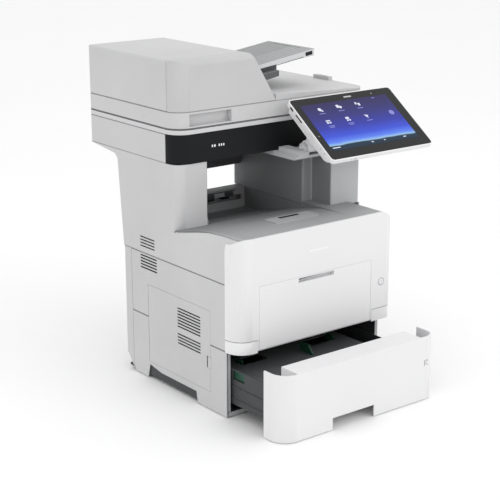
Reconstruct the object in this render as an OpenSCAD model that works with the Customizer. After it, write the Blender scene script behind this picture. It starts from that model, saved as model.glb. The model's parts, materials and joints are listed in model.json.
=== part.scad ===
/* [Scanner] */
// Width of the scanner and document feeder
scan_w = 480; // [470:1:490]
// Y of the scanner's front plane
scan_front = -63.4; // [-66:0.1:-60]
// Y of the scanner's rear plane
scan_rear = 239.4; // [236:0.1:242]
// Height of the underside of the scanner
scan_z = 456.2; // [456:0.1:457]
// Radius of the scanner's vertical corners
scan_r = 35; // [25:1:38]
// Top of the document feeder
adf_top = 651; // [640:1:655]

/* [Body] */
// X of the body's left side
body_l = -240; // [-241:0.5:-239.5]
// X of the body's right side
body_r = 145; // [144:0.5:147]
// Y of the front cover's face
cover_y = -252.4; // [-253:0.1:-252]
// Top of the body
body_top = 351; // [349:0.5:352]
// X of the inner side of the left tower
tower_x = -165; // [-170:1:-160]
// Y of the tower's front face
tower_y = -62; // [-63:0.5:-60]
// X of the inner face of the right pillar
pillar_x = 43; // [40:1:46]
// Thickness of the plastic skins
skin = 2.5; // [2:0.1:2.5]

/* [Drawer] */
// Y of the drawer's front face, drawn out as it stands at rest
drawer_y = -380; // [-382:0.5:-378]
// Height of the drawer's top edge
drawer_top = 130.3; // [128:0.1:130.3]
// Depth of the paper box
box_len = 305; // [290:1:305]

/* [Panel] */
// Width of the operation panel's black glass
panel_w = 259.4; // [250:0.1:262]
// Length of the glass up its slope
panel_h = 158.3; // [150:0.1:160]
// Slope of the panel from level
panel_tilt = 35.6; // [30:0.1:38]

/* [Rollers] */
// Radius of the photoconductor drum
drum_r = 15; // [13:0.5:15]
// Radius of the fuser rollers
fuse_r = 14; // [12:0.5:14]

/* [Hidden] */
$fn = 48;

// shift that puts the origin at the centre of the footprint
ox = -16;
oy = 64;

// ---- helpers ----
module bx(x0, x1, y0, y1, z0, z1) { translate([x0, y0, z0]) cube([x1 - x0, y1 - y0, z1 - z0]); }
// prism along X from a (Y, Z) outline
module xp(x0, x1) { translate([x0, 0, 0]) rotate([90, 0, 90]) linear_extrude(x1 - x0) children(); }
// prism along Y from an (X, Z) outline
module yp(y0, y1) { translate([0, y1, 0]) rotate([90, 0, 0]) linear_extrude(y1 - y0) children(); }
module zp(z0, z1) { translate([0, 0, z0]) linear_extrude(z1 - z0) children(); }
module rx(x0, x1, y, z, r) { translate([x0, y, z]) rotate([0, 90, 0]) cylinder(r = r, h = x1 - x0); }
module ry(y0, y1, x, z, r) { translate([x, y1, z]) rotate([90, 0, 0]) cylinder(r = r, h = y1 - y0); }
// rectangle with its own radius at each corner: (x0,y0) (x1,y0) (x1,y1) (x0,y1)
module rc(x0, x1, y0, y1, r) {
  difference() {
    translate([x0, y0]) square([x1 - x0, y1 - y0]);
    if (r[0] > 0) corner(x0, y0, 1, 1, r[0]);
    if (r[1] > 0) corner(x1, y0, -1, 1, r[1]);
    if (r[2] > 0) corner(x1, y1, -1, -1, r[2]);
    if (r[3] > 0) corner(x0, y1, 1, -1, r[3]);
  }
}
module corner(x, y, sx, sy, r) {
  difference() {
    translate([sx > 0 ? x - 1 : x - r, sy > 0 ? y - 1 : y - r]) square([r + 1, r + 1]);
    translate([x + sx * r, y + sy * r]) circle(r = r);
  }
}
module place() { translate([ox, oy, 0]) children(); }
module slats(y0, y1, z0, n, pitch, x) {
  for (i = [0:n - 1]) bx(x - 1, x + skin + 2, y0, y1, z0 + i * pitch, z0 + i * pitch + pitch * 0.5);
}

// ---- base ----
module base_housing() place() color("#6a6c6e") {
  bx(-236.4, 141, -216, 119, 6, 11);
  bx(-236.4, 141, -216, -200, 1.5, 6);
  bx(-236.4, -230.7, -216, 98.5, 11, 130);
  bx(134, 141, -216, 98.5, 1.5, 6);
  bx(134, 141, -216, 98.5, 11, 130);
  bx(-230.7, 134, 92.5, 98.5, 11, 130);
  bx(-230.7, 134, -216, -210, 132, 140);
  bx(-236.4, -212.2, -216, 98.5, 130, 133);
  bx(74.2, 141, -216, 98.5, 130, 133);
}
module feet() place() color("#2b2b2c")
  for (x = [-212, 112]) for (y = [-186, 72]) translate([x, y, 0]) cylinder(r = 14, h = 6);

module left_outline_door(g) { translate([-165.5 - g, 37.5 - g]) square([206.8 + g * 2 + (g > 0 ? 0.7 : 0), 161.5 + g * 2]); }
module left_cover_lower() place() color("#cfd0d1") difference() {
  xp(body_l, body_l + skin) difference() {
    polygon([[-216, 1.5], [-122.6, 1.5], [-119, 24], [0, 24], [41, 31], [48.5, 1.5], [91, 1.5], [98.7, 10.9], [98.7, 131.9], [-216, 131.9]]);
    left_outline_door(0.3);
    translate([-168, 84]) square([4, 24]);
  }
}
module left_cover_middle() place() color("#cfd0d1") {
  xp(body_l, body_l + skin) difference() {
    translate([-211.7, 132.9]) square([310.4, 128.4]);
    left_outline_door(0.3);
    for (i = [0:4]) translate([9.2, 229.2 + i * 6.2]) square([57.3, 3]);
  }
}
module left_cover_upper() place() color("#cfd0d1") {
  xp(body_l, body_l + skin) difference() {
    polygon([[-211.7, 262.3], [125, 262.3], [132.5, 345], [-211.7, 345]]);
    translate([-212, 326]) square([234 + tower_y, 20]);
    for (i = [0:3]) translate([15.2, 273.6 + i * 6.2]) square([50.6, 3]);
  }
  // rounded top edge, carried forward inside the front cover's corner
  intersection() {
    yp(-252, tower_y) difference() {
      translate([body_l, 326]) square([25, 25]);
      translate([body_l + 25, 326]) circle(r = 25 - skin);
      difference() { translate([body_l - 1, 325]) square([26, 27]); translate([body_l + 25, 326]) circle(r = 25); }
    }
    zp(320, 352) union() { front_plan(4.4, -211.6); translate([body_l, -211.7]) square([30, 160]); }
    xp(body_l - 1, -214) polygon([[-253, 320], [tower_y, 320], [tower_y, 328.2], [-122, 340.7], [-152, 345.3], [-190, 347.1], [-253, 347.7]]);
  }
  // foot of the tower, standing on the rounded edge
  zp(326, 345.5) difference() {
    rc(body_l, tower_x - 2.9, tower_y, tower_y + 22, [22, 0, 0, 0]);
    rc(body_l + skin, tower_x + 1, tower_y + skin, tower_y + 23, [19.5, 0, 0, 0]);
  }
  difference() {
    intersection() {
      xp(body_l, tower_x) polygon([[tower_y, 345], [132.5, 345], [140.5, 437], [150, 446], [239, 455.9], [tower_y, 455.9]]);
      zp(344, 457) rc(body_l, tower_x, tower_y, 240, [22, 6, 0, 0]);
    }
    intersection() {
      xp(body_l + skin, tower_x - skin) polygon([[tower_y + skin, 344], [129.5, 344], [137.7, 438], [148.5, 449], [225, 457.4], [tower_y + skin, 457.4]]);
      zp(344, 458) rc(body_l + skin, tower_x - skin, tower_y + skin, 240, [19.5, 3.5, 0, 0]);
    }
  }
}
module right_cover() place() color("#cfd0d1") xp(body_r - skin, body_r) difference() {
  polygon([[-211.7, 133.3], [98.7, 133.3], [98.7, 262], [125, 262], [132.5, 345], [-211.7, 345]]);
  translate([-212, 312.7]) square([61.7, 40]);
  for (i = [0:7]) translate([-40, 215 + i * 6.2]) square([80, 3]);
}
module rear_cover() place() color("#cfd0d1") difference() {
  union() {
    zp(1.5, 261.3) difference() {
      rc(body_l, body_r, 99.3, 125, [0, 0, 4, 4]);
      translate([body_l + skin, 98]) square([body_r - body_l - 2 * skin, 27 - skin]);
    }
    bx(body_l + skin + 0.2, body_r - skin - 0.2, 125 - skin, 125, 261.3, 344.7);
  }
  xp(body_l - 1, body_r + 1) polygon([[91, 0], [91.6, 0], [118.6, 33], [126, 33], [126, -1], [91, -1]]);
  bx(79, 125, 115, 130, 145, 185);
  for (k = [0:2]) for (i = [0:9]) bx(-190 + k * 70, -140 + k * 70, 120, 130, 200 + i * 7, 203.5 + i * 7);
}

// ---- body top ----
// outline of the output tray's surface, front to rear
dish_pts = [[-249, 351], [-190, 350.4], [-152, 348.6], [-122, 344], [-62, 331.5], [-20, 319], [60, 304], [77.5, 303], [94.6, 303]];
module dish() { polygon(concat(dish_pts, [for (i = [len(dish_pts) - 1:-1:0]) [dish_pts[i][0], dish_pts[i][1] - 2.6]])); }
module top_plan(g) { rc(body_l + g, body_r - g, cover_y + g, 200, [35 - g, 20 - g, 0, 0]); }
// the tray's surface where it runs into the rounded left edge
module left_dish() difference() {
  intersection() {
    xp(body_l, -214.5) intersection() { dish(); translate([-250, 290]) square([271.7 + tower_y, 62]); }
    yp(-250, tower_y + 21.7) difference() {
      translate([body_l, 300]) square([26, 51]);
      difference() { translate([body_l - 1, 326]) square([26, 26]); translate([body_l + 25, 326]) circle(r = 25); }
    }
    zp(290, 352) union() { top_plan(4.4); translate([body_l, -211.7]) square([30, 180]); }
  }
  zp(290, 353) rc(body_l + 0.1, tower_x, tower_y - 0.3, tower_y + 40, [22, 0, 0, 0]);
  bx(body_l - 1, body_l + skin + 0.2, tower_y - 0.3, tower_y + 40, 290, 353);
}
module top_cover() place() color("#b9babb") difference() {
  union() {
    intersection() {
      union() {
        difference() { xp(-214.6, pillar_x) dish(); bx(-220, tower_x, tower_y, 100, 290, 352); }
        left_dish();
        bx(pillar_x, body_r - 38, -249, -150.3, 348.4, 351);
        bx(pillar_x, 67.7, -150.3, -93.3, 348.4, 351);
      }
      zp(290, 352) union() { top_plan(4.4); translate([body_l, -211.7]) square([30, 160]); }
    }
    xp(tower_x - 2.6, tower_x) polygon([[tower_y, 328.9], [-20, 316.4], [60, 301.4], [77.5, 300.4], [121.8, 300.4], [121.8, 344.8], [tower_y + 3, 344.8], [tower_y + 3, 340], [tower_y, 340]]);
    xp(pillar_x, pillar_x + 2.6) polygon([[-190, 347.8], [-152, 346], [-122, 341.4], [tower_y, 328.9], [-20, 316.4], [60, 301.4], [77.5, 300.4], [121.8, 300.4], [121.8, 345.3], [-93.3, 345.3], [-93.3, 351], [-190, 351]]);
    intersection() {
      yp(-249, -150.3) difference() {
        translate([body_r - 38, 313]) square([38, 38]);
        translate([body_r - 38, 313]) circle(r = 38 - skin);
        difference() { translate([body_r - 38, 312]) square([39, 40]); translate([body_r - 38, 313]) circle(r = 38); }
      }
      zp(300, 352) union() { top_plan(4.4); translate([100, -211.7]) square([45, 80]); }
    }
    bx(-107, 5, -199, -154, 343, 348.6);
  }
  bx(-104.4, 2.1, -196.4, -156.6, 345.4, 352);
}
module output_stopper() place() color("#c4c5c6") difference() {
  union() {
    bx(-103.8, 1.5, -192.4, -157, 346.2, 351.6);
    rx(-103.8, 1.5, -193.4, 348.2, 2.4);
  }
  bx(-76, -28, -168, -162, 345, 353);
}
module exit_housing() place() color("#4b4d4f") {
  difference() {
    bx(tower_x + 0.3, pillar_x - 0.3, 95, 121.8, 303, 347);
    bx(tower_x + 3.3, pillar_x - 3.3, 98, 118.8, 306, 344);
    bx(tower_x + 10, pillar_x - 10, 94, 99, 321, 332);
    rx(tower_x, pillar_x, 108, 331, 3.06);
  }
}
module pillar_outline(g) {
  rc(68 + g, body_r - g, -150 + g, 0, [4, 8 - g, 0, 0]);
  rc(pillar_x + g, body_r - g, -93 + g, 140 - g, [5, 0, 0, 14]);
}
module right_pillar_cover() place() color("#b4b5b6") difference() {
  zp(345.6, 455.9) pillar_outline(0);
  zp(344, 457) pillar_outline(skin);
  bx(-6, 92.4, -151, -19.6, 445.6, 457);
}
module rear_beam_cover() place() color("#b4b5b6") difference() {
  xp(tower_x + 0.3, pillar_x - 0.3) polygon([[108, 394], [136.8, 394], [140.5, 437], [150, 446], [239, 455.9], [108, 455.9]]);
  xp(tower_x + 3.3, pillar_x - 3.3) polygon([[111, 397], [133.9, 397], [137.5, 438.5], [148.6, 449], [215, 457.4], [111, 457.4]]);
}
// ---- front ----
module front_plan(g, y1) { rc(body_l + g, body_r - g, cover_y + g, y1, [35 - g, 20 - g, 0, 0]); }
module front_face(g, z0) { rc(body_l + g, body_r - g, z0, body_top - g, [0, 0, 38 - g, 25 - g]); }

module front_cover() place() color("#e9eaeb") {
  difference() {
    intersection() {
      zp(156.5, 352) front_plan(0, -212);
      yp(-253, -211) front_face(0, 156);
    }
    zp(155, 353) front_plan(4, -211);
    bx(-190.6, 86.3, -254, -240, 150, 259.1);
    ry(-256, -240, 113, 210, 7);
  }
  for (x = [-193.9, 86.6]) difference() {
    bx(x, x + 3, -248.4, -238, 156.5, 175);
    rx(x - 1, x + 4, -247, 138, 2.06);
  }
  for (x = [-193.9, 86.6]) difference() {
    xp(x, x + 3) { translate([-247, 138]) circle(r = 5.4); translate([-252.4, 138]) square([12, 18.5]); }
    rx(x - 1, x + 4, -247, 138, 2.06);
  }
}
module bypass_door() place() color("#e9eaeb") difference() {
  union() {
    bx(-190.2, 85.9, -252.4, -248.8, 138, 258.8);
    rx(-190.2, 85.9, -247, 138, 5.4);
    bx(-180, -176, -248.8, -242, 150, 250);
    bx(70, 74, -248.8, -242, 150, 250);
    bx(-176, 70, -248.8, -245, 150, 154);
    bx(-100, -7, -248.8, -240.4, 245, 258);
  }
  rx(-191, 87, -247, 138, 2.06);
  bx(-97, -10, -253, -242.4, 247.8, 256);
}
module power_button() place() color("#d9dadb") { ry(-253, -244, 113, 210, 6.4); ry(-244, -242, 113, 210, 9); }
module front_lower_trim() place() color("#e9eaeb") {
  difference() {
    zp(131.3, 155.2) difference() {
      front_plan(0, -212);
      front_plan(2.4, -211);
      translate([-194.3, -256]) square([284.3, 50]);
    }
  }
  for (x = [-210, 118]) difference() {
    bx(x, x + 5, -250.3, -216.3, 131.3, 143);
    rx(x - 1, x + 6, -247, 138, 2);
  }
}
module front_hinge_rod() place() color("#b5b8bc") rx(-210, 123, -247, 138, 2);

// ---- inner works ----
module side_plates() place() color("#9da1a5") for (x = [-212, 72]) difference() {
  xp(x, x + 2) polygon([[-200, 133.2], [-200, 296], [76, 296], [115, 290], [115, 133.2], [90, 133.2], [90, 134], [-140, 134], [-140, 112], [-190, 112], [-190, 133.2]]);
  rx(x - 1, x + 3, -60, 215, 5.06);
  rx(x - 1, x + 3, -60, 190.5, 4.06);
  rx(x - 1, x + 3, 60, 226, 5.06);
  rx(x - 1, x + 3, 60, 197.4, 5.06);
  rx(x - 1, x + 3, -125, 182, 4.06);
  rx(x - 1, x + 3, -165, 126, 4.06);
}
module roller(y, z, r, x0, x1, rs, s0, s1) { rx(x0, x1, y, z, r); rx(s0, s1, y, z, rs); }
module drum() place() color("#3f7f86") { roller(-60, 215, drum_r, -190, 50, 5, -211.8, 73.8); rx(51, 58, -60, 215, drum_r + 4); }
module transfer_roller() place() color("#3a3a3c") roller(-60, 190.5, 8, -188, 48, 4, -211.8, 73.8);
module hot_roller() place() color("#5c4438") roller(60, 226, fuse_r, -185, 45, 5, -211.8, 73.8);
module pressure_roller() place() color("#8b3b30") roller(60, 197.4, fuse_r, -185, 45, 5, -211.8, 73.8);
module registration_roller() place() color("#3a3a3c") roller(-125, 182, 9, -180, 42, 4, -211.8, 73.8);
module pickup_roller() place() color("#3a3a3c") { roller(-165, 126, 12, -90, -48, 4, -211.8, 73.8); }
module exit_roller() place() color("#3a3a3c") { rx(tower_x + 0.6, pillar_x - 0.6, 108, 331, 3); for (x = [-150, -110, -50, -10]) rx(x, x + 18, 108, 331, 8); }
module laser_unit() place() color("#55585b") difference() {
  union() { bx(-205, 66, -150, -20, 248, 288); bx(-210, 72, -140, -120, 248, 252); bx(-210, 72, -50, -30, 248, 252); }
  bx(-201, 62, -146, -24, 260, 284);
  bx(-180, 40, -68, -56, 247, 261);
}
module toner_cartridge() place() color("#303234") {
  bx(-200, 62, -192, -100, 200, 240);
  bx(-210, 72, -160, -130, 214, 226);
  bx(-190, 52, -100, -82, 208, 222);
}
module drum_unit() place() color("#46494c") {
  bx(-210, 50.5, -79, -41, 234.5, 242);
  bx(-195, 50.5, -41, -36, 196, 242);
  bx(50.5, 72, -79, -41, 236, 242);
}
module fuser_housing() place() color("#6d7073") difference() {
  union() { bx(-198, 60, 34, 86, 176, 248); bx(-210, 72, 40, 80, 176, 180); }
  bx(-194, 56, 38, 82, 180, 244);
  bx(-180, 40, 30, 90, 204, 220);
  rx(-200, 62, 60, 226, 8);
  rx(-200, 62, 60, 197.4, 8);
}
module main_motor() place() color("#3c3e40") {
  rx(74, 104, 0, 240, 28);
  rx(104, 112, 0, 240, 10);
  bx(74, 78, -34, 34, 206, 274);
}
module controller_board() place() color("#2f6b45") {
  bx(-230, -228.4, -150, 90, 145, 290);
  for (y = [-120, -60, 10]) bx(-228.4, -222, y, y + 38, 170, 205);
  bx(-228.4, -218, -130, 70, 255, 268);
  for (y = [-145, 80]) for (z = [150, 280]) rx(-229, -212, y, z, 3);
}
module power_supply() place() color("#a2a5a8") difference() {
  bx(80, 135, -140, -40, 133, 200);
  bx(83, 132, -137, -43, 136, 197);
  for (i = [0:5]) bx(79, 84, -130 + i * 14, -122 + i * 14, 150, 190);
}
module power_inlet() place() color("#1f2021") {
  difference() {
    union() { bx(82, 122, 104, 122, 150, 180); bx(79.3, 124.7, 122, 126, 145.3, 184.7); }
    bx(89.5, 114.5, 110, 128, 157, 173.5);
  }
  for (p = [[95, 163], [109, 163], [102, 168]]) bx(p[0] - 1, p[0] + 1, 110, 123, p[1] - 2, p[1] + 2);
}

// ---- left door ----
module left_access_door() place() color("#cfd0d1") difference() {
  xp(body_l, body_l + skin) difference() {
    left_outline_door(0);
    for (i = [0:6]) translate([-134, 138.6 + i * 6.2]) square([75.5, 3]);
    for (i = [0:3]) translate([-134, 104.4 + i * 6.2]) square([75.5, 3]);
    translate([-166, 84.3]) square([12.3, 23.4]);
  }
}
module door_latch() place() color("#bfc0c1") bx(body_l + 0.1, body_l + skin - 0.2, -167.6, -157.4, 84.7, 107.3);

// ---- scanner ----
module scan_plan(g) { rc(-scan_w / 2 + g, scan_w / 2 - g, scan_front + g, scan_rear - g, [scan_r - g, scan_r - g, 6, 6]); }
module scanner_base() place() color("#d2d3d4") difference() {
  zp(scan_z, 512) difference() {
    scan_plan(0);
    difference() { translate([-250, -70]) square([500, 41.4]); scan_plan(3.2); }
  }
  zp(scan_z + 3, 513) scan_plan(6);
}
module scanner_front_panel() place() color("#28292b") zp(scan_z, 512) intersection() {
  difference() { scan_plan(0); scan_plan(3); }
  translate([-250, -70]) square([500, 41.2]);
}
module scanner_top_frame() place() color("#d2d3d4") difference() {
  zp(512.2, 522.7) scan_plan(0);
  zp(511, 518) scan_plan(3);
  bx(-165, 150, -18, 206, 511, 524);
  bx(-208, -180, -18, 206, 511, 524);
}
module platen_glass() place() color("#9db3b5") { bx(-165, 150, -18, 206, 518.2, 521.4); bx(-208, -180, -18, 206, 518.2, 521.4); }
module carriage_rods() place() color("#b5b8bc") for (y = [8, 180]) rx(-234, 234, y, 482, 4);
module scanner_carriage() place() color("#3a3c3e") difference() {
  union() { bx(-212, -172, -14, 202, 472, 496); bx(-205, -180, -8, 196, 496, 512); }
  for (y = [8, 180]) rx(-214, -170, y, 482, 4.06);
  bx(-196, -190, 0, 188, 488, 514);
}

// ---- feeder ----
hinge_y = 246;
hinge_z = 523;
module adf_hinge_brackets() place() color("#8f9295") for (x = [-150, 120]) {
  bx(x - 15, x + 15, scan_rear, 251, 494, 516);
  bx(x - 6, x + 6, 240.4, 250, 516, 519);
  rx(x - 6, x + 6, hinge_y, hinge_z, 6);
  rx(x - 15, x + 15, hinge_y, hinge_z, 2.5);
}
module adf_base() place() color("#d6d7d8") {
  difference() {
    intersection() {
      yp(scan_front, scan_rear) polygon([[-240, 523.2], [240, 523.2], [240, 557], [-1, 567], [-1, 555], [-240, 555]]);
      zp(520, 570) scan_plan(0);
    }
    bx(-208, -110, -70, -50, 527, 550);
    bx(-232, -12, -30, 200, 530, 560);
  }
  intersection() { bx(229, 239.5, 46, 95, 545, 565); zp(520, 570) scan_plan(0.5); }
  for (x = [-150, 120]) for (s = [-15, 6.3]) difference() {
    union() { rx(x + s, x + s + 8.7, hinge_y, hinge_z, 6); bx(x + s, x + s + 8.7, scan_rear, hinge_y, 524, 532); }
    rx(x + s - 1, x + s + 10, hinge_y, hinge_z, 2.56);
  }
}
module platen_sheet() place() color("#f4f4f2") bx(-160, 145, -13, 201, 522, 523.2);
module cap_face(g) {
  intersection() {
    rc(-240 + g, 40, 555.3 + g, adf_top - g, [0, 0, 0, 6 - g]);
    polygon([[-241, 550], [-2 - g, 550], [-2 - g, 558], [-7 - g, 566], [-55 - g, adf_top - 6], [-59 - g, 652], [-241, 652]]);
  }
}
module adf_end_caps() place() color("#d6d7d8") {
  difference() {
    intersection() {
      yp(scan_front, -35.1) cap_face(0);
      zp(555, 652) scan_plan(0);
      xp(-241, 41) rc(scan_front, -35.1, 555, adf_top, [0, 0, 0, 12]);
    }
    intersection() {
      yp(scan_front + 3, -38.1) cap_face(3);
      zp(550, 660) scan_plan(3);
      xp(-241, 41) rc(scan_front + 3, -30, 540, adf_top - 3, [0, 0, 0, 9]);
    }
    ry(-40, -30, -95, 602, 4.06);
  }
  // inner plate that carries the rear end of the feed roller
  difference() {
    bx(-200, -60, 206, 212, 555, 626);
    ry(200, 220, -95, 602, 4.06);
  }
}
module adf_feed_cover() place() color("#d6d7d8") difference() {
  intersection() {
    yp(-34.8, scan_rear) intersection() { cap_face(0); translate([-241, 556]) square([300, 100]); }
    zp(550, 652) scan_plan(0);
  }
  yp(-36, scan_rear - 2.6) union() {
    intersection() { cap_face(3); translate([-241, 540]) square([300, 115]); }
    translate([-237, 550]) square([20, 20]);
    translate([-225, 500]) square([300, 128]);
  }
}
module adf_input_tray() place() color("#8c8e90") {
  yp(-11, 138) polygon([[-58, 603], [30, 613.8], [139.5, 624.6], [140, 638.5], [-58, 609.8]]);
  ry(-15, 142, -52, 606.2, 2.5);
}
module adf_tray_support() place() color("#4c4e50") {
  yp(5, 130) polygon([[-48, 586], [55, 600], [55, 615], [-48, 603]]);
  yp(-10.6, 137.6) polygon([[-48, 583], [24, 587], [49, 591.5], [49, 602.5], [-48, 592]]);
  for (y = [-16, 138.4]) difference() {
    bx(-57, -47, y, y + 4.6, 530, 611);
    ry(y - 1, y + 6, -52, 606.2, 2.56);
  }
  bx(-57, -48, -16, 143, 530, 555);
  for (y = [-11.6, 137.4]) bx(-57, -40, y, y + 1.2, 583, 592);
}
module tray_guide() { polygon([[-50, 611.6], [-14, 616.8], [-14, 621], [-18, 624], [-46, 620], [-50, 616]]); }
module adf_guide_front() place() color("#6f7173") { yp(-8, -5) tray_guide(); }
module adf_guide_rear() place() color("#6f7173") { yp(132, 135) tray_guide(); }
module adf_feed_roller() place() color("#2f3133") { ry(-37.8, 208, -95, 602, 4); for (y = [45, 75]) ry(y, y + 22, -95, 602, 15); }

// ---- operation panel ----
module on_panel() translate([0, -223.7, 464.2]) rotate([panel_tilt, 0, 0]) children();
module panel_housing() place() color("#eeefef") difference() {
  union() {
    on_panel() {
      difference() {
        zp(-9, 0) rc(3.5, 272, -4.5, panel_h + 3.5, [9, 9, 9, 9]);
        zp(-1.6, 1) rc(5.9, 269.8, -1.9, panel_h + 1.6, [7, 7, 7, 7]);
      }
      zp(-22, -9) rc(9, 266, 11, panel_h - 2, [10, 10, 10, 10]);
      bx(32, 58, 79, 98, -52, -23);
    }
    rx(28.6, 62, -118, 468, 12.5);
  }
  rx(27, 63, -118, 468, 4.06);
}
module panel_bezel() place() color("#17181a") on_panel() zp(-1.6, 0.3) rc(6.1, 269.6, -1.7, panel_h + 1.4, [6.8, 6.8, 6.8, 6.8]);
module panel_bracket() place() color("#9a9c9e") {
  bx(-5, 92, -62, -20, 446, scan_z);
  xp(-5, 92) polygon([[-131, 449.5], [-124, 446], [-62, 446], [-62, 453], [-131, 453]]);
  xp(4, 28.2) polygon([[-130.5, 453], [-66, 453], [-66, 463], [-127, 463], [-130.5, 460]]);
  xp(20, 28.2) { translate([-118, 468]) circle(r = 8.5); translate([-126.5, 453]) square([17, 15]); }
  difference() {
    xp(62.4, 78) { translate([-118, 468]) circle(r = 12.5); translate([-130.5, 453]) square([25, 15]); }
    rx(62, 79, -118, 468, 4);
  }
  rx(16, 78, -118, 468, 4);
}
// ---- drawer ----
module drawer_plan(g) { rc(-240 + g, 143.5 - g, drawer_y + g, -327, [35 - g, 26 - g, 0, 0]); }
module drawer_front() place() color("#ecedee") difference() {
  union() {
    zp(1.5, drawer_top) difference() { drawer_plan(0); translate([0, 0.01]) rc(-237, 140.5, drawer_y + 3, -320, [32, 23, 0, 0]); }
    bx(-201, 105, drawer_y + 2.9, -329, 24, 129.4);
  }
  bx(-120, -17, -385, -350, 1, 24.5);
  bx(-196, 100, -372, -328, 28, 124);
}
module drawer_box() place() color("#4a4d4f") {
  difference() {
    bx(-226, 130, -329, -329 + box_len, 27, 98);
    bx(-223, 127, -326, -332 + box_len, 30, 110);
    bx(120, 131, -326, -332 + box_len, 86, 110);
    bx(-227, -222, -252, -217, 77, 95);
    for (s = [-1, 1]) bx(s < 0 ? -180 : -16, s < 0 ? -122 : 42, -186, -174, 26, 31);
    bx(-75, -63, -104, -40, 26, 31);
  }
  for (z = [38, 62]) bx(-227.6, -226, -329, -30, z, z + 2.4);
  for (z = [38, 62]) bx(130, 131.6, -329, -30, z, z + 2.4);
  bx(-227.6, -226, -329, -30, 95.6, 98);
  for (x = [-200, 94]) bx(x, x + 10, -320, -30, 11.4, 27);
}
module lift_plate() place() color("#a9acae") {
  difference() {
    bx(-214, 76, -318, -112, 86.4, 88);
    for (s = [-1, 1]) bx(s < 0 ? -187 : -12, s < 0 ? -126 : 49, -196, -164, 85, 90);
  }
  rx(-214, 76, -113, 87.2, 1.6);
}
module fence(s) {
  bx(s < 0 ? -184 : 43, s < 0 ? -181 : 46, -191, -169, 31.6, 95);
  bx(s < 0 ? -181 : 37, s < 0 ? -175 : 43, -186, -174, 31.6, 36);
  bx(s < 0 ? -178 : 34, s < 0 ? -172 : 40, -185.5, -174.5, 27.5, 32);
}
module side_fence_left() place() color("#2f5a45") fence(-1);
module side_fence_right() place() color("#2f5a45") fence(1);
module end_fence() place() color("#2f5a45") { bx(-92, -46, -44, -41, 31.6, 105); bx(-74, -64, -52, -44, 27.5, 36); }
base_housing();
feet();
left_cover_upper();
left_cover_middle();
left_cover_lower();
right_cover();
rear_cover();
top_cover();
exit_housing();
right_pillar_cover();
rear_beam_cover();
front_lower_trim();
front_hinge_rod();
side_plates();
scanner_base();
scanner_front_panel();
scanner_top_frame();
platen_glass();
carriage_rods();
panel_bracket();
laser_unit();
fuser_housing();
main_motor();
controller_board();
power_supply();
power_inlet();
toner_cartridge();
drum_unit();
adf_hinge_brackets();
drawer_front();
drawer_box();
lift_plate();
side_fence_left();
side_fence_right();
end_fence();
front_cover();
bypass_door();
power_button();
left_access_door();
door_latch();
output_stopper();
adf_base();
platen_sheet();
adf_end_caps();
adf_feed_cover();
adf_input_tray();
adf_tray_support();
adf_guide_front();
adf_guide_rear();
panel_housing();
panel_bezel();
scanner_carriage();
drum();
transfer_roller();
hot_roller();
pressure_roller();
exit_roller();
pickup_roller();
registration_roller();
adf_feed_roller();
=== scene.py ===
import bpy, bmesh, math, json
from mathutils import Vector, Matrix


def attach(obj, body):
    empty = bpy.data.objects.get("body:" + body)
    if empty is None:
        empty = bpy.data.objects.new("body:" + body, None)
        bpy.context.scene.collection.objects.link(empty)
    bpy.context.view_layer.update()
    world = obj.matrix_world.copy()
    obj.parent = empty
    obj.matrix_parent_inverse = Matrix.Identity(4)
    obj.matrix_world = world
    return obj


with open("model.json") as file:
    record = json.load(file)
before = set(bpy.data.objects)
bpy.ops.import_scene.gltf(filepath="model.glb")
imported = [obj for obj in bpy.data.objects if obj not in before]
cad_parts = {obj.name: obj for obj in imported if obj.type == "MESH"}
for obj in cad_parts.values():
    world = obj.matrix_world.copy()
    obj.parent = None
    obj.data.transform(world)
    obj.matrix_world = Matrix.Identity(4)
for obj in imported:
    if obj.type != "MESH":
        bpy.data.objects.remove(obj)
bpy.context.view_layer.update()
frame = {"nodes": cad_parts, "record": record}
scene = bpy.context.scene
N = frame["nodes"]
OX, OY = -16.0, 64.0


def P(x, y, z):
    """A point of the design (millimetres) in the row frame (metres)."""
    return Vector(((x + OX) / 1000.0, (y + OY) / 1000.0, z / 1000.0))


# ------------------------------------------------------------------ camera
cam_data = bpy.data.cameras.new("camera")
cam = bpy.data.objects.new("camera", cam_data)
scene.collection.objects.link(cam)
cam.location = P(-1625.3, -2074.2, 1007.8)
aim = P(-39.18, -50.04, 248.12)
cam.rotation_euler = (aim - cam.location).to_track_quat("-Z", "Y").to_euler()
cam_data.sensor_width = 36.0
cam_data.lens = 1337.51 / 500.0 * 36.0
cam_data.shift_x = -(256.44 - 250.0) / 500.0
cam_data.shift_y = (253.24 - 250.0) / 500.0
cam_data.clip_start = 0.05
cam_data.clip_end = 50
scene.camera = cam
scene.view_settings.view_transform = "Standard"


# ------------------------------------------------------------------ materials
def srgb(r, g, b):
    def f(c):
        c /= 255.0
        return c / 12.92 if c <= 0.04045 else ((c + 0.055) / 1.055) ** 2.4
    return (f(r), f(g), f(b), 1.0)


def new_mat(name):
    m = bpy.data.materials.new(name)
    m.use_nodes = True
    nt = m.node_tree
    return m, nt, nt.nodes["Principled BSDF"]


def add(nt, kind, **inputs):
    n = nt.nodes.new(kind)
    for k, v in inputs.items():
        if k in n.inputs:
            n.inputs[k].default_value = v
        else:
            setattr(n, k, v)
    return n


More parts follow.
